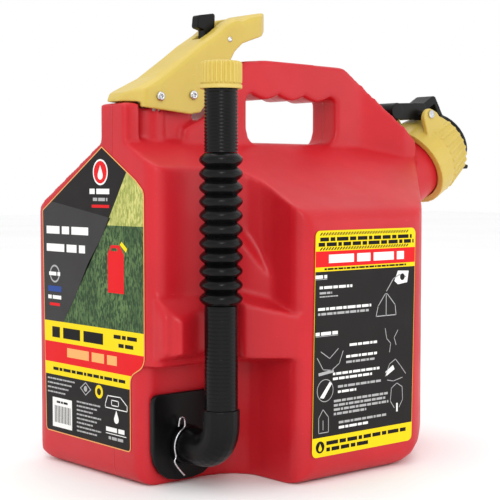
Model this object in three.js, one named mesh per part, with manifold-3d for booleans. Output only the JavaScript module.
// Safety gas can: a blow-moulded tank with a thumb trigger, a bottom valve, a swivelling
// flexible spout and a self-closing fill cap.
// Millimetres. +Z is up, -X is the front (trigger end), -Y is the side that carries the spout.
// The origin is the middle of the flat base.
import * as THREE from 'three';
import { mergeVertices } from 'three/addons/utils/BufferGeometryUtils.js';
import Module from 'manifold-3d';

const wasm = await Module();
wasm.setup();

// ---- driving dimensions ----
const TANK_LENGTH = 272;
const TANK_WIDTH = 200;
const RIDGE_HEIGHT = 228;
const RIDGE_HALF_WIDTH = 11;
const ROOF_SLOPE = 0.55;
const WALL = 3.5;
const GAP = 0.3;

const FRONT = -TANK_LENGTH / 2;
const REAR = TANK_LENGTH / 2;
const SIDE = TANK_WIDTH / 2;
const REAR_TAPER_START = 60;

// The pocket in the front right corner that holds the spout.
const POCKET_BACK = FRONT + 80;
const POCKET_WALL_Y = -46;
const OUTLET_WALL_Y = -33;
const OUTLET_POCKET_TOP = 80;

// Trigger linkage: the lever rocks on the pivot and lifts the rod at its front end.
const NECK_TOP = 250;
const GUIDE_SEAT = 245;
const ROD = { x: FRONT + 28, y: 0, radius: 3, pinZ: 257 };
const PIVOT = { x: FRONT + 56, z: 259 };
const LEVER_HALF_WIDTH = 16;
const LEVER_WALL = 2.4;
const SCREW_RADIUS = 1.6;
const TAB_PIVOT = { x: FRONT + 89, z: 299 };

// Bottom outlet and spout.
const HUB = { x: FRONT + 31.6, z: 26 };
const SPOUT_Y = -75;
const SPOUT_BORE = 7;
const SPOUT_TUBE = 10.8;
const ELBOW_RADIUS = 12;
const ELBOW_BEND = 17;
const ELBOW_TOP = 54;
const BELLOWS = { bottom: 121, top: 218.5, peak: 14, root: 10.4, folds: 11 };
const NOZZLE_TOP = 270;
const CAP = { bottom: 259, top: 276.5, radius: 13.6 };

// Fill neck: its axis leans back, 30 degrees above level, and starts at the cap's inner rim.
const FILL = { x: FRONT + 292, z: 211.5, tiltFromUpright: THREE.MathUtils.degToRad(60) };
const FILL_NECK = 27;
const FILL_BORE = 23;
const COLLAR = { radius: 33, skirt: 14, rim: 28.5, length: 41.5, mouth: 21, shelf: 31.3 };
const LID_HINGE = { x: -37, z: 20 };

const ROUND = 24;
const CORNER_STEPS = 4;

// ---- colours ----
const RED = 0xc9252f;
const YELLOW = 0xd9bd4f;
const BLACK = 0x161517;
const STEEL = 0xb9bcc0;
const NATURAL = 0xd8d4c8;

function plastic(color, roughness = 0.45) {
  return new THREE.MeshStandardMaterial({ color, roughness, metalness: 0 });
}

function metal(color, roughness = 0.3) {
  return new THREE.MeshStandardMaterial({ color, roughness, metalness: 1 });
}

// ---- solids: joining and cutting ----
function toSolid(geometry) {
  const bare = geometry.clone();
  bare.deleteAttribute('normal');
  bare.deleteAttribute('uv');
  const merged = mergeVertices(bare, 1e-4);
  const kept = [];
  for (let i = 0; i < merged.index.count; i += 3) {
    const [a, b, c] = [0, 1, 2].map((k) => merged.index.getX(i + k));
    if (a !== b && b !== c && a !== c) kept.push(a, b, c);
  }
  const mesh = new wasm.Mesh({
    numProp: 3,
    vertProperties: new Float32Array(merged.attributes.position.array),
    triVerts: new Uint32Array(kept),
  });
  return new wasm.Manifold(mesh);
}

function toGeometry(solid) {
  const mesh = solid.getMesh();
  const geometry = new THREE.BufferGeometry();
  geometry.setAttribute('position', new THREE.BufferAttribute(new Float32Array(mesh.vertProperties), 3));
  geometry.setIndex(new THREE.BufferAttribute(new Uint32Array(mesh.triVerts), 1));
  geometry.computeVertexNormals();
  return geometry;
}

const join = (...solids) => solids.reduce((all, next) => all.add(next));
const cut = (solid, ...tools) => tools.reduce((left, tool) => left.subtract(tool), solid);

// ---- outlines ----
// A polygon through [x, y, radius] corners, each corner rounded by an arc, as a list of points.
function rounded(corners, steps = CORNER_STEPS) {
  const points = [];
  corners.forEach(([x, y, radius = 0], i) => {
    const corner = new THREE.Vector2(x, y);
    if (radius === 0) {
      points.push(corner);
      return;
    }
    const before = new THREE.Vector2(...corners.at(i - 1)).sub(corner).normalize();
    const after = new THREE.Vector2(...corners[(i + 1) % corners.length]).sub(corner).normalize();
    const half = Math.acos(THREE.MathUtils.clamp(before.dot(after), -1, 1)) / 2;
    const centre = before.clone().add(after).normalize().multiplyScalar(radius / Math.sin(half)).add(corner);
    const start = before.multiplyScalar(radius / Math.tan(half)).add(corner).sub(centre);
    const turn = Math.PI - 2 * half;
    const way = Math.sign(start.cross(corner.clone().sub(centre))) || 1;
    for (let k = 0; k <= steps; k += 1) {
      points.push(start.clone().rotateAround(new THREE.Vector2(), (way * turn * k) / steps).add(centre));
    }
  });
  return points;
}

// The same polygon with every edge moved inwards by a distance (outwards if it is negative).
function inset(points, distance) {
  const loop = THREE.ShapeUtils.isClockWise(points) ? [...points].reverse() : points;
  return loop.map((point, i) => {
    const back = point.clone().sub(loop.at(i - 1)).normalize();
    const ahead = loop[(i + 1) % loop.length].clone().sub(point).normalize();
    const inBack = new THREE.Vector2(-back.y, back.x);
    const inAhead = new THREE.Vector2(-ahead.y, ahead.x);
    const bisector = inBack.add(inAhead).normalize();
    return bisector.multiplyScalar(distance / bisector.dot(inAhead)).add(point);
  });
}

// ---- prisms and turned shapes ----
const alongX = new THREE.Matrix4().makeBasis(
  new THREE.Vector3(0, 1, 0),
  new THREE.Vector3(0, 0, 1),
  new THREE.Vector3(1, 0, 0),
);

function extruded(points, depth) {
  return new THREE.ExtrudeGeometry(new THREE.Shape(points), { depth, bevelEnabled: false });
}

// Outline in (x, y), between two heights.
const prismZ = (points, low, high) => toSolid(extruded(points, high - low).translate(0, 0, low));

// Outline in (x, z), between two y.
function prismY(points, low, high) {
  return toSolid(extruded(points, high - low).rotateX(Math.PI / 2).translate(0, high, 0));
}

// Outline in (y, z), between two x.
function prismX(points, low, high) {
  return toSolid(extruded(points, high - low).applyMatrix4(alongX).translate(low, 0, 0));
}

function box(x, y, z) {
  const geometry = new THREE.BoxGeometry(x[1] - x[0], y[1] - y[0], z[1] - z[0]);
  geometry.translate((x[0] + x[1]) / 2, (y[0] + y[1]) / 2, (z[0] + z[1]) / 2);
  return toSolid(geometry);
}

// A turned solid about Z from [radius, height] points that start and end on the axis.
function turned(profile, segments = ROUND) {
  const points = profile.map(([radius, height]) => new THREE.Vector2(radius, height));
  return toSolid(new THREE.LatheGeometry(points, segments).rotateX(Math.PI / 2));
}

// A turned ring: the same, with a profile that closes on itself.
const ring = (profile, segments) => turned([...profile, profile[0]], segments);

function rodZ(radius, low, high, x = 0, y = 0, segments = ROUND) {
  return turned([[0, low], [radius, low], [radius, high], [0, high]], segments).translate([x, y, 0]);
}

function rodY(radius, low, high, x = 0, z = 0, segments = ROUND) {
  return turned([[0, low], [radius, low], [radius, high], [0, high]], segments)
    .rotate([-90, 0, 0])
    .translate([x, 0, z]);
}

function washer(inner, outer, low, high, segments) {
  return ring([[inner, low], [outer, low], [outer, high], [inner, high]], segments);
}

function washerY(inner, outer, low, high, x, z) {
  return rodY(outer, low, high, x, z).subtract(rodY(inner, low - 1, high + 1, x, z));
}

// A round bar along a curve.
function bar(curve, radius, steps, sides = 8) {
  const section = new THREE.Shape().absarc(0, 0, radius, 0, 2 * Math.PI);
  return toSolid(
    new THREE.ExtrudeGeometry(section, { steps, curveSegments: sides / 2, extrudePath: curve, bevelEnabled: false }),
  );
}

class Helix extends THREE.Curve {
  constructor(radius, low, high, turns) {
    super();
    Object.assign(this, { radius, low, high, turns });
  }

  getPoint(t) {
    const angle = 2 * Math.PI * this.turns * t;
    const height = THREE.MathUtils.lerp(this.low, this.high, t);
    return new THREE.Vector3(this.radius * Math.cos(angle), this.radius * Math.sin(angle), height);
  }
}

function coil({ radius, wire, low, high, turns }) {
  return bar(new Helix(radius, low + wire, high - wire, turns), wire, Math.round(turns * 10), 6);
}

// ---- tank ----
const handleOutline = rounded([
  [FRONT + 50, 190],
  [FRONT + 50, 236, 5],
  [FRONT + 68, 244.5, 5],
  [FRONT + 84, 257, 12],
  [FRONT + 103, 285, 10],
  [FRONT + 126, 287, 6],
  [FRONT + 204, 286, 14],
  [FRONT + 222, 274, 14],
  [REAR, 231, 5],
  [REAR, 190],
], 3);

// Lower edge of the grip: three rounded lobes between the fingers, seen from the rear forwards.
function gripEdge() {
  const { first, lobe, lobes, drop, top } = { first: FRONT + 112.3, lobe: 25.4, lobes: 3, drop: 3.8, top: 262.6 };
  const steps = lobes * 6;
  return Array.from({ length: steps + 1 }, (_, k) => {
    const turns = lobes * (1 - k / steps);
    return [first + lobe * turns, top - drop * Math.abs(Math.sin(Math.PI * turns))];
  });
}

const handleHole = rounded([
  [FRONT + 107, 226, 11],
  [FRONT + 195.5, 226, 12],
  [FRONT + 195.5, 262, 4],
  ...gripEdge(),
  [FRONT + 107, 262, 4],
], 3);

// The handle is narrow over the hand hole and widens into the root of the fill neck.
const handlePlan = rounded([
  [FRONT + 46, -14],
  [FRONT + 222, -14, 30],
  [FRONT + 258, -26, 20],
  [REAR, -26],
  [REAR, 26],
  [FRONT + 258, 26, 20],
  [FRONT + 222, 14, 30],
  [FRONT + 46, 14],
], 3);

const gableOutline = (() => {
  const shoulder = RIDGE_HEIGHT - ROOF_SLOPE * (SIDE - RIDGE_HALF_WIDTH);
  return rounded([
    [-SIDE, 0, 14],
    [SIDE, 0, 24],
    [SIDE, shoulder, 16],
    [RIDGE_HALF_WIDTH, RIDGE_HEIGHT, 8],
    [-RIDGE_HALF_WIDTH, RIDGE_HEIGHT, 8],
    [-SIDE, shoulder, 16],
  ]);
})();

const sideOutline = rounded([
  [FRONT, 0, 10],
  [REAR, 0, 30],
  [REAR, RIDGE_HEIGHT + 10],
  [FRONT, RIDGE_HEIGHT + 10],
]);

// Seen from above: a box whose rear tapers, with the spout pocket cut from its front corner.
function planOutline(pocketWallY) {
  const taper = SIDE - (REAR - REAR_TAPER_START);
  return rounded([
    [FRONT, pocketWallY, 10],
    [POCKET_BACK, pocketWallY, 24],
    [POCKET_BACK, -SIDE, 12],
    [REAR_TAPER_START, -SIDE, 30],
    [REAR, -taper, 12],
    [REAR, taper, 12],
    [REAR_TAPER_START, SIDE, 30],
    [FRONT, SIDE, 14],
  ]);
}

// A block whose face across one rear taper is rounded at the bottom; side is 1 or -1.
function taperBlock(side, wall) {
  const reach = (REAR_TAPER_START + SIDE) / Math.SQRT2;
  const outline = rounded([
    [-TANK_LENGTH, 0],
    [reach, 0, 26],
    [reach, RIDGE_HEIGHT + 10],
    [-TANK_LENGTH, RIDGE_HEIGHT + 10],
  ]);
  return prismY(inset(outline, wall), -TANK_LENGTH, TANK_LENGTH).rotate([0, 0, side * 45]);
}

// The tank's block, or with a wall thickness the space inside it.
function tankBlock(wall) {
  const below = 10;
  const above = RIDGE_HEIGHT + 10;
  const deepPlan = prismZ(inset(planOutline(OUTLET_WALL_Y), wall), -below, above);
  const fullPlan = prismZ(inset(planOutline(POCKET_WALL_Y), wall), OUTLET_POCKET_TOP + wall, above);
  return prismX(inset(gableOutline, wall), FRONT - 1, REAR + 1)
    .intersect(prismY(inset(sideOutline, wall), -SIDE - 1, SIDE + 1))
    .intersect(taperBlock(1, wall))
    .intersect(taperBlock(-1, wall))
    .intersect(join(deepPlan, fullPlan));
}

function handleBlock(wall) {
  const grip = prismY(inset(handleOutline, wall), -SIDE, SIDE).intersect(
    prismZ(inset(handlePlan, wall), RIDGE_HEIGHT - 40, RIDGE_HEIGHT + 80),
  );
  return cut(grip, prismY(inset(handleHole, -wall), -SIDE, SIDE));
}

// A shelf and two bosses on the pocket wall cradle the spout; the front boss stays inboard of
// its path, and a wedge fills the corner above the rear boss.
function spoutCradle() {
  const shelf = prismX(rounded([[-44, 84], [-44, 124], [-55, 114], [-55, 90]]), FRONT + 2, POCKET_BACK + 2);
  const frontBoss = prismX(rounded([[-44, 84], [-44, 127], [-62, 109], [-62, 90]]), FRONT + 1, FRONT + 38).intersect(
    prismZ(rounded([[FRONT + 1, -44], [FRONT + 11, -60.3], [FRONT + 37, -53], [FRONT + 37, -44]]), 80, 130),
  );
  const rearBoss = prismX(
    rounded([[-44, 84], [-44, 130], [-98, 112], [-98, 84]]),
    POCKET_BACK - 28,
    POCKET_BACK + 3,
  ).intersect(
    prismZ(rounded([
      [POCKET_BACK - 27, -44],
      [POCKET_BACK - 27, -72],
      [POCKET_BACK + 2, -97],
      [POCKET_BACK + 2, -44],
    ]), 80, 132),
  );
  const wedge = prismX(
    rounded([[-44, 110], [-44, 180], [-74, 128], [-74, 110]]),
    POCKET_BACK - 28,
    POCKET_BACK + 3,
  ).intersect(
    prismZ(rounded([[POCKET_BACK - 26, -44], [POCKET_BACK + 2, -73], [POCKET_BACK + 2, -44]]), 100, 182),
  );
  return join(shelf, frontBoss, rearBoss, wedge);
}

function triggerNeck() {
  const frontBlock = box([FRONT, FRONT + 13], [-14, 14], [RIDGE_HEIGHT - 20, NECK_TOP + 2.3]);
  const neck = rodZ(13, RIDGE_HEIGHT - 20, NECK_TOP, ROD.x, ROD.y);
  const bracket = prismY(rounded([
    [FRONT + 36, RIDGE_HEIGHT - 8],
    [FRONT + 48, RIDGE_HEIGHT - 8],
    [PIVOT.x + 8, PIVOT.z - 8, 4],
    [PIVOT.x + 8, PIVOT.z + 7, 6],
    [PIVOT.x - 8, PIVOT.z + 7, 6],
    [FRONT + 44, NECK_TOP],
    [FRONT + 36, NECK_TOP],
  ]), -9, 9);
  return join(frontBlock, neck, bracket);
}

// Moves a solid from the fill neck's own frame (Z along its axis) to the tank's.
function atFillNeck(solid) {
  return solid.rotate([0, THREE.MathUtils.radToDeg(FILL.tiltFromUpright), 0]).translate([FILL.x, 0, FILL.z]);
}

function tank() {
  const outside = join(
    tankBlock(0),
    handleBlock(0),
    spoutCradle(),
    triggerNeck(),
    atFillNeck(rodZ(FILL_NECK, -50, 29.5, 0, 0, 32)),
  );
  return cut(
    outside,
    tankBlock(WALL),
    handleBlock(WALL),
    atFillNeck(rodZ(FILL_BORE, -60, 31, 0, 0, 32)),
    rodZ(9, RIDGE_HEIGHT - 40, NECK_TOP + 1, ROD.x, ROD.y),
    rodZ(11.4, GUIDE_SEAT, NECK_TOP + 1, ROD.x, ROD.y),
    rodY(SCREW_RADIUS + 0.4, -20, 20, PIVOT.x, PIVOT.z, 12),
    rodY(15, OUTLET_WALL_Y - 2, OUTLET_WALL_Y + WALL + 2, HUB.x, HUB.z),
  );
}

// ---- trigger ----
const leverTop = [
  [FRONT + 0.5, 254.8],
  [FRONT + 4, 259],
  [FRONT + 9, 261],
  [FRONT + 29, 270.5],
  [FRONT + 53, 287],
  [FRONT + 64, 295],
  [FRONT + 78, 303.5],
  [FRONT + 88, 311],
  [FRONT + 96, 314.8],
  [FRONT + 102, 314.6],
  [FRONT + 110, 318],
  [FRONT + 120, 320],
  [FRONT + 127, 320.8, 3],
];

const leverUnderside = [
  [FRONT + 128, 312, 3],
  [FRONT + 126.5, 307.5],
  [FRONT + 121, 303.8],
  [FRONT + 111, 300.5],
  [FRONT + 101, 297],
  [FRONT + 94, 291],
  [FRONT + 88, 281.5],
  [FRONT + 67, 252.5],
  [FRONT + 63, 247.5],
  [FRONT + 54, 246],
  [FRONT + 14, 249.6],
  [FRONT + 13.6, 253],
  [FRONT + 0.5, 253.2],
];

// The lever's top is crowned: each layer's half width, and how far its top lies below the middle's.
const leverCrown = [
  [16, 4.2],
  [15, 1.9],
  [13.2, 0.6],
  [11, 0],
];

const leverPlan = rounded([
  [FRONT, -6, 4],
  [FRONT + 16, -LEVER_HALF_WIDTH, 8],
  [FRONT + 118, -LEVER_HALF_WIDTH, 8],
  [FRONT + 128, -8, 6],
  [FRONT + 128, 8, 6],
  [FRONT + 118, LEVER_HALF_WIDTH, 8],
  [FRONT + 16, LEVER_HALF_WIDTH, 8],
  [FRONT, 6, 4],
], 3);

function triggerLever() {
  const layers = leverCrown.map(([halfWidth, drop]) => {
    const top = leverTop.map(([x, z, radius]) => [x, z - Math.min(drop, (x - FRONT) / 4), radius]);
    return prismY(rounded([...top, ...leverUnderside]), -halfWidth, halfWidth);
  });
  const outside = join(...layers).intersect(prismZ(leverPlan, 240, 330));
  const roof = leverTop.slice(1, -2).map(([x, z]) => [x + 0.6 * LEVER_WALL, z - 1.3 * LEVER_WALL]);
  const inside = prismY(
    rounded([[roof[0][0], 230], ...roof, [roof.at(-1)[0], 230]]),
    -20,
    20,
  ).intersect(prismZ(inset(leverPlan, LEVER_WALL), 220, 330));
  return cut(
    outside,
    inside,
    rodY(SCREW_RADIUS + 0.15, -20, 20, PIVOT.x, PIVOT.z, 12),
    rodY(SCREW_RADIUS + 0.15, -20, 20, ROD.x, ROD.pinZ, 12),
    rodY(1.35, -20, 20, TAB_PIVOT.x, TAB_PIVOT.z, 10),
    box([FRONT + 71, FRONT + 94], [-4.5, 4.5], [285, 318]),
  );
}

// A screw across the lever: pan head on the spout side, nut on the other.
function screw(x, z, radius, headRadius) {
  const outer = LEVER_HALF_WIDTH + GAP;
  return join(
    rodY(radius, -outer - 0.2, outer + 3.2, x, z, 12),
    rodY(headRadius, -outer - 2, -outer, x, z, 16),
  );
}

function nut(x, z) {
  const outer = LEVER_HALF_WIDTH + GAP;
  return rodY(3.3, outer, outer + 2.4, x, z, 6).subtract(rodY(SCREW_RADIUS + 0.2, 0, 40, x, z, 12));
}

function safetyTab() {
  const outline = rounded([
    [FRONT + 70, 307, 1.5],
    [FRONT + 76, 305.5],
    [FRONT + 76.5, 297],
    [FRONT + 66.5, 270, 1.5],
    [FRONT + 71, 267.5, 1.5],
    [FRONT + 83, 292],
    [TAB_PIVOT.x + 3.5, TAB_PIVOT.z - 3.5, 3],
    [TAB_PIVOT.x + 3.5, TAB_PIVOT.z + 2.6, 2],
    [FRONT + 84, 301.5],
    [FRONT + 83, 306.5],
    [FRONT + 85.5, 308],
    [FRONT + 86, 318, 1.5],
    [FRONT + 71, 315.5, 1.5],
  ], 2);
  return prismY(outline, -3.5, 3.5).subtract(rodY(1.35, -20, 20, TAB_PIVOT.x, TAB_PIVOT.z, 10));
}

// ---- rod and bottom valve ----
const VALVE = { radius: 14.4, bore: 10, front: OUTLET_WALL_Y - 1.3, back: 13, seatTop: 46.5, seatHole: 6 };
const POPPET_BOTTOM = VALVE.seatTop + GAP;
const ROD_BOTTOM = POPPET_BOTTOM + 7;
const SPRING = { low: 191.3, high: GUIDE_SEAT - 17.3 };

function controlRod() {
  const shank = rodZ(ROD.radius, ROD_BOTTOM, ROD.pinZ, ROD.x, ROD.y, 16);
  const eye = rodY(4.6, -4, 4, ROD.x, ROD.pinZ, 16);
  return join(shank, eye).subtract(rodY(SCREW_RADIUS + 0.5, -20, 20, ROD.x, ROD.pinZ, 12));
}

function rodGuide() {
  return ring([
    [ROD.radius + 0.4, GUIDE_SEAT - 17],
    [8.7, GUIDE_SEAT - 17],
    [8.7, GUIDE_SEAT + GAP],
    [11, GUIDE_SEAT + GAP],
    [11, GUIDE_SEAT + 4],
    [5.8, GUIDE_SEAT + 4],
    [5.8, GUIDE_SEAT + 1.6],
    [ROD.radius + 0.4, GUIDE_SEAT + 1.6],
  ]).translate([ROD.x, ROD.y, 0]);
}

function valveBody() {
  const barrel = rodY(VALVE.radius, VALVE.front, VALVE.back, HUB.x, HUB.z);
  const seatBoss = rodZ(11, HUB.z, VALVE.seatTop, ROD.x, ROD.y);
  return cut(
    join(barrel, seatBoss),
    rodY(VALVE.bore, VALVE.front - 1, VALVE.back - 4, HUB.x, HUB.z),
    rodZ(VALVE.seatHole, HUB.z, VALVE.seatTop + 1, ROD.x, ROD.y),
  );
}

const PLATE = { back: OUTLET_WALL_Y - 1.6, front: OUTLET_WALL_Y - 5.6, halfWidth: 27, bottom: 3, top: 61 };

// A plate that is widely rounded at its lower corners.
function outletPlate() {
  const outline = rounded([
    [HUB.x - PLATE.halfWidth, PLATE.bottom, 20],
    [HUB.x + PLATE.halfWidth, PLATE.bottom, 20],
    [HUB.x + PLATE.halfWidth, PLATE.top, 5],
    [HUB.x - PLATE.halfWidth, PLATE.top, 5],
  ]);
  return prismY(outline, PLATE.front, PLATE.back).subtract(rodY(VALVE.bore, -60, 0, HUB.x, HUB.z));
}

// ---- spout ----
const FLANGE = { back: PLATE.front - GAP, front: PLATE.front - 3.4, radius: 13.5 };
const JOURNAL_END = -10;
const SEAL_PLACES = [-17, -25];

function elbowPath(start, top) {
  const path = new THREE.CurvePath();
  const [y, z] = [SPOUT_Y + ELBOW_BEND, HUB.z + ELBOW_BEND];
  const point = (py, pz) => new THREE.Vector3(HUB.x, py, pz);
  const arc = (t) => {
    const angle = (Math.PI / 2) * t;
    return point(y - ELBOW_BEND * Math.sin(angle), z - ELBOW_BEND * Math.cos(angle));
  };
  const bend = Array.from({ length: 9 }, (_, k) => arc(k / 8));
  const stops = [point(start, HUB.z), ...bend, point(SPOUT_Y, top)];
  stops.slice(1).forEach((stop, i) => path.add(new THREE.LineCurve3(stops[i], stop)));
  return path;
}

function swivelElbow() {
  const seats = SEAL_PLACES.map((y) => rodY(20, y - 1.1, y + 1.1, HUB.x, HUB.z).subtract(
    rodY(8.4, -60, 0, HUB.x, HUB.z),
  ));
  const body = join(
    rodY(9.7, FLANGE.front + 1, JOURNAL_END, HUB.x, HUB.z),
    rodY(FLANGE.radius, FLANGE.front, FLANGE.back, HUB.x, HUB.z),
    bar(elbowPath(FLANGE.front + 1, ELBOW_TOP), ELBOW_RADIUS, 16, 20),
  );
  return cut(body, bar(elbowPath(JOURNAL_END + 1, ELBOW_TOP + 1), SPOUT_BORE, 22, 14), ...seats);
}

const swivelSeal = (y) => toSolid(new THREE.TorusGeometry(9.15, 0.65, 6, 20).rotateX(Math.PI / 2))
  .translate([HUB.x, y, HUB.z]);

// A bent spring wire that hugs the elbow in front of its flange.
function wireClip() {
  const wire = 0.6;
  const y = FLANGE.front - wire - GAP;
  const reach = ELBOW_RADIUS + 2 * wire;
  const hug = [110, 130, 150, 170, 190, 210].map((degrees) => {
    const angle = THREE.MathUtils.degToRad(degrees);
    return [HUB.x + reach * Math.cos(angle), HUB.z + reach * Math.sin(angle)];
  });
  const route = [
    [HUB.x - 9.6, HUB.z + 13.5],
    [HUB.x - 9.2, HUB.z + 18],
    [HUB.x - 7, HUB.z + 19.8],
    [HUB.x - 4.8, HUB.z + 18],
    [HUB.x - 4.4, HUB.z + 14.5],
    ...hug,
    [HUB.x - 14.5, HUB.z - 10],
    [HUB.x - 5, HUB.z - 19.5],
  ].map(([x, z]) => new THREE.Vector3(x, y, z));
  return bar(new THREE.CatmullRomCurve3(route), wire, 44, 6);
}

const onSpout = (solid) => solid.translate([HUB.x, SPOUT_Y, 0]);

const lowerTube = () => onSpout(washer(SPOUT_BORE, SPOUT_TUBE, ELBOW_TOP + GAP, BELLOWS.bottom - GAP));

function bellows() {
  const { bottom, top, peak, root, folds } = BELLOWS;
  const pitch = (top - bottom) / folds;
  const skin = 1.6;
  const outer = [[root, bottom]];
  for (let fold = 0; fold < folds; fold += 1) {
    const low = bottom + fold * pitch;
    outer.push([peak, low + 0.5 * pitch], [root, low + pitch]);
  }
  const inner = outer.map(([radius, height]) => [radius - skin - 0.15, height]).reverse();
  return onSpout(ring([...outer, ...inner]));
}

function nozzleTube() {
  return onSpout(washer(SPOUT_BORE, SPOUT_TUBE, BELLOWS.top + GAP, NOZZLE_TOP));
}

function nozzleScreen() {
  const disc = rodZ(SPOUT_BORE - GAP, NOZZLE_TOP - 8, NOZZLE_TOP - 7);
  const holes = [rodZ(0.9, 0, 300, 0, 0, 6)];
  for (let k = 0; k < 6; k += 1) {
    const angle = (k * Math.PI) / 3;
    holes.push(rodZ(0.9, 0, 300, 3.8 * Math.cos(angle), 3.8 * Math.sin(angle), 6));
  }
  return onSpout(cut(disc, ...holes));
}

// An outline with shallow grip ribs.
function ribbedCircle(radius, depth, ribs) {
  return Array.from({ length: ribs * 4 }, (_, k) => {
    const angle = (2 * Math.PI * k) / (ribs * 4);
    const reach = k % 4 < 2 ? radius : radius - depth;
    return new THREE.Vector2(reach * Math.cos(angle), reach * Math.sin(angle));
  });
}

function spoutCap() {
  const cup = join(
    prismZ(ribbedCircle(CAP.radius, 0.7, 24), CAP.bottom + 3, CAP.top - 1),
    rodZ(CAP.radius - 0.8, CAP.top - 1.5, CAP.top),
    rodZ(CAP.radius, CAP.bottom, CAP.bottom + 2.4),
    rodZ(CAP.radius - 1.2, CAP.bottom, CAP.top),
  );
  return onSpout(cup.subtract(rodZ(SPOUT_TUBE + 0.4, CAP.bottom - 1, CAP.top - 3)));
}

// ---- fill cap, in the fill neck's own frame ----
function fillCollar() {
  const { radius, skirt, rim, length, mouth, shelf } = COLLAR;
  const bore = FILL_NECK + 0.6;
  const edge = length - 2;
  const shell = ring([
    [bore, 0],
    [radius, 0],
    [radius, skirt],
    [rim, edge],
    [rim - 2, length],
    [mouth, length],
    [mouth, shelf],
    [bore, shelf],
  ], 32);
  const ribStart = skirt + 3;
  const ribRoot = radius - ((radius - rim) * (ribStart - skirt)) / (edge - skirt) - 1;
  const ribOutline = [[ribRoot, ribStart], [ribRoot + 2.2, ribStart], [rim + 1.2, edge], [rim - 1, edge]];
  const rib = prismY(rounded(ribOutline), -1.3, 1.3);
  const ribs = [];
  for (let degrees = -132; degrees <= 132; degrees += 12) {
    ribs.push(rib.rotate([0, 0, degrees]));
  }
  const ear = rounded([[-20, 8], [-20, 30], [-34, 28, 6], [-43, 21, 6], [-40, 12, 6]], 3);
  const ears = [prismY(ear, -24, -20), prismY(ear, 20, 24)];
  return join(shell, ...ribs, ...ears).subtract(rodY(1.9, -30, 30, LID_HINGE.x, LID_HINGE.z, 12));
}

function flameArrestor() {
  const basket = ring([
    [18.2, -38],
    [19, -38],
    [19, 26.5],
    [22.6, 26.5],
    [22.6, 28.5],
    [18.2, 28.5],
  ]);
  const floor = rodZ(18.6, -38, -37);
  const slots = [0, 45, 90, 135].map((degrees) => box([-30, 30], [-1.6, 1.6], [-32, 20]).rotate([0, 0, degrees]));
  return cut(join(basket, floor), ...slots);
}

function fillLid() {
  const under = COLLAR.length + 1.6;
  const disc = turned([[0, under], [25, under], [25, under + 3.4], [23, under + 5.4], [0, under + 5.4]], 32);
  const nub = rodY(3, -4, 4, -4, under + 5.4, 10);
  const lip = prismY(
    rounded([[22, under + 0.4], [27.5, under + 3], [32, under + 11], [29.5, under + 13], [22, under + 5]]),
    -9,
    9,
  );
  const bridge = prismY(
    rounded([
      [LID_HINGE.x - 4, LID_HINGE.z],
      [LID_HINGE.x + 2.4, LID_HINGE.z],
      [LID_HINGE.x + 2.4, under],
      [-20, under],
      [-20, under + 5],
      [LID_HINGE.x - 4, under + 4, 3],
    ]),
    -9,
    9,
  );
  const barrel = rodY(3.8, -9, 9, LID_HINGE.x, LID_HINGE.z, 16);
  return join(disc, nub, lip, bridge, barrel).subtract(rodY(1.9, -30, 30, LID_HINGE.x, LID_HINGE.z, 12));
}

const LATCH_BAR = { x: -54.5, z: -7, radius: 6.5 };

function latchLever() {
  const arm = rounded([
    [LID_HINGE.x + 3, LID_HINGE.z - 4, 2],
    [LID_HINGE.x + 2.5, LID_HINGE.z + 6, 3],
    [LID_HINGE.x - 7, LID_HINGE.z + 7, 3],
    [LATCH_BAR.x - 6, LATCH_BAR.z + 2],
    [LATCH_BAR.x + 4, LATCH_BAR.z - 5],
  ], 3);
  return join(
    prismY(arm, -15, -11),
    prismY(arm, 11, 15),
    rodY(LATCH_BAR.radius, -18, 18, LATCH_BAR.x, LATCH_BAR.z, 20),
  ).subtract(rodY(1.9, -30, 30, LID_HINGE.x, LID_HINGE.z, 12));
}

function lidPin() {
  return join(
    rodY(1.5, -24.5, 24.5, LID_HINGE.x, LID_HINGE.z, 12),
    rodY(3.2, -26, -24.3, LID_HINGE.x, LID_HINGE.z, 16),
    rodY(3.2, 24.3, 26, LID_HINGE.x, LID_HINGE.z, 16),
  );
}

function lidSpring() {
  return coil({ radius: 2.9, wire: 0.5, low: 15.5, high: 19.5, turns: 3 })
    .rotate([-90, 0, 0])
    .translate([LID_HINGE.x, 0, LID_HINGE.z]);
}

// ---- labels: thin skins on the front and on the spout side ----
const LABEL = { gap: GAP, thickness: 0.3 };

function frontLabel() {
  const outline = rounded([
    [83, 22.5, 3],
    [86, 180],
    [11.6, 223.7],
    [-26.7, 201.2, 12],
    [-35.8, 194, 8],
    [-35.8, 80, 10],
    [-20, 72, 8],
    [-20, 21.5, 3],
  ], 3);
  return prismX(outline, FRONT - LABEL.gap - LABEL.thickness, FRONT - LABEL.gap);
}

function sideLabel() {
  const outline = rounded([
    [FRONT + 91, 168, 4],
    [FRONT + 188, 168, 4],
    [FRONT + 185, 18, 4],
    [FRONT + 88, 18, 4],
  ], 3);
  return prismY(outline, -SIDE - LABEL.gap - LABEL.thickness, -SIDE - LABEL.gap);
}

// ---- assembly ----
const can = new THREE.Group();

function piece(name, solid, material, parent = can) {
  const mesh = new THREE.Mesh(toGeometry(solid), material);
  mesh.name = name;
  parent.add(mesh);
}

piece('tank', tank(), plastic(RED, 0.42));
piece('front_label', frontLabel(), plastic(0x33312f, 0.5));
piece('side_label', sideLabel(), plastic(0x33312f, 0.5));

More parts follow.
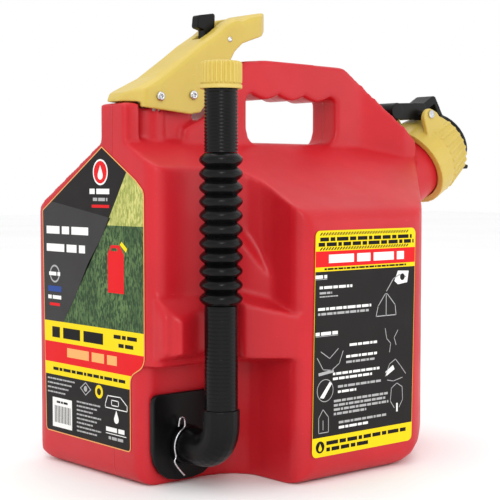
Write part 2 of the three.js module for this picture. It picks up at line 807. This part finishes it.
piece('trigger_lever', triggerLever(), plastic(YELLOW, 0.5));
piece('pivot_screw', screw(PIVOT.x, PIVOT.z, SCREW_RADIUS, 3.2), metal(STEEL));
piece('pivot_nut', nut(PIVOT.x, PIVOT.z), metal(STEEL));
piece('link_screw', screw(ROD.x, ROD.pinZ, SCREW_RADIUS, 3.2), metal(STEEL));
piece('link_nut', nut(ROD.x, ROD.pinZ), metal(STEEL));
piece('safety_tab', safetyTab(), plastic(BLACK));
piece('safety_tab_pin', rodY(1.2, -16.8, 16.8, TAB_PIVOT.x, TAB_PIVOT.z, 10), metal(STEEL));
piece(
  'safety_tab_spring',
  coil({ radius: 2, wire: 0.4, low: 4.8, high: 8.8, turns: 3 })
    .rotate([-90, 0, 0])
    .translate([TAB_PIVOT.x, 0, TAB_PIVOT.z]),
  metal(STEEL),
);

piece('control_rod', controlRod(), metal(STEEL));
piece('rod_guide', rodGuide(), plastic(NATURAL));
piece(
  'rod_seal',
  washer(ROD.radius + 0.15, 5.5, GUIDE_SEAT + 1.9, GUIDE_SEAT + 3.7, 16).translate([ROD.x, ROD.y, 0]),
  plastic(BLACK, 0.8),
);
piece(
  'rod_collar',
  washer(ROD.radius + GAP, 7.5, SPRING.low - 4, SPRING.low - GAP, 16).translate([ROD.x, ROD.y, 0]),
  metal(STEEL),
);
piece(
  'return_spring',
  coil({ radius: 6, wire: 0.7, low: SPRING.low, high: SPRING.high, turns: 6 }).translate([ROD.x, ROD.y, 0]),
  metal(STEEL),
);
piece(
  'poppet',
  rodZ(8.5, POPPET_BOTTOM + 2.3, POPPET_BOTTOM + 6.7, ROD.x, ROD.y, 20),
  plastic(NATURAL),
);
piece('poppet_seal', rodZ(8.5, POPPET_BOTTOM, POPPET_BOTTOM + 2, ROD.x, ROD.y, 20), plastic(BLACK, 0.8));
piece('valve_body', valveBody(), plastic(BLACK));
piece(
  'outlet_gasket',
  washerY(15.3, 22, OUTLET_WALL_Y - 1.3, OUTLET_WALL_Y - GAP, HUB.x, HUB.z),
  plastic(BLACK, 0.8),
);
piece('outlet_plate', outletPlate(), plastic(BLACK));
piece('wire_clip', wireClip(), metal(STEEL));

piece('swivel_elbow', swivelElbow(), plastic(BLACK));
SEAL_PLACES.forEach((y, i) => piece(`swivel_seal_${i + 1}`, swivelSeal(y), plastic(BLACK, 0.8)));
piece('lower_tube', lowerTube(), plastic(BLACK, 0.55));
piece('bellows', bellows(), plastic(BLACK, 0.55));
piece('nozzle_tube', nozzleTube(), plastic(BLACK, 0.55));
piece('nozzle_screen', nozzleScreen(), metal(STEEL));
piece('spout_cap', spoutCap(), plastic(YELLOW));
piece('cap_gasket', onSpout(rodZ(9.8, NOZZLE_TOP + GAP, CAP.top - 3 - GAP)), plastic(BLACK, 0.8));

const fillNeck = new THREE.Group();
fillNeck.position.set(FILL.x, 0, FILL.z);
fillNeck.rotation.y = FILL.tiltFromUpright;
can.add(fillNeck);
piece('fill_collar', fillCollar(), plastic(YELLOW), fillNeck);
piece('collar_gasket', washer(23.2, 26.8, 29.8, 31), plastic(BLACK, 0.8), fillNeck);
piece('flame_arrestor', flameArrestor(), metal(STEEL, 0.45), fillNeck);
piece('fill_lid', fillLid(), plastic(BLACK), fillNeck);
piece('lid_gasket', rodZ(23.5, COLLAR.length + GAP, COLLAR.length + 1.3), plastic(BLACK, 0.8), fillNeck);
piece('lid_pin', lidPin(), metal(STEEL), fillNeck);
piece('lid_spring', lidSpring(), metal(STEEL), fillNeck);
piece('latch_lever', latchLever(), plastic(BLACK), fillNeck);

export default can;
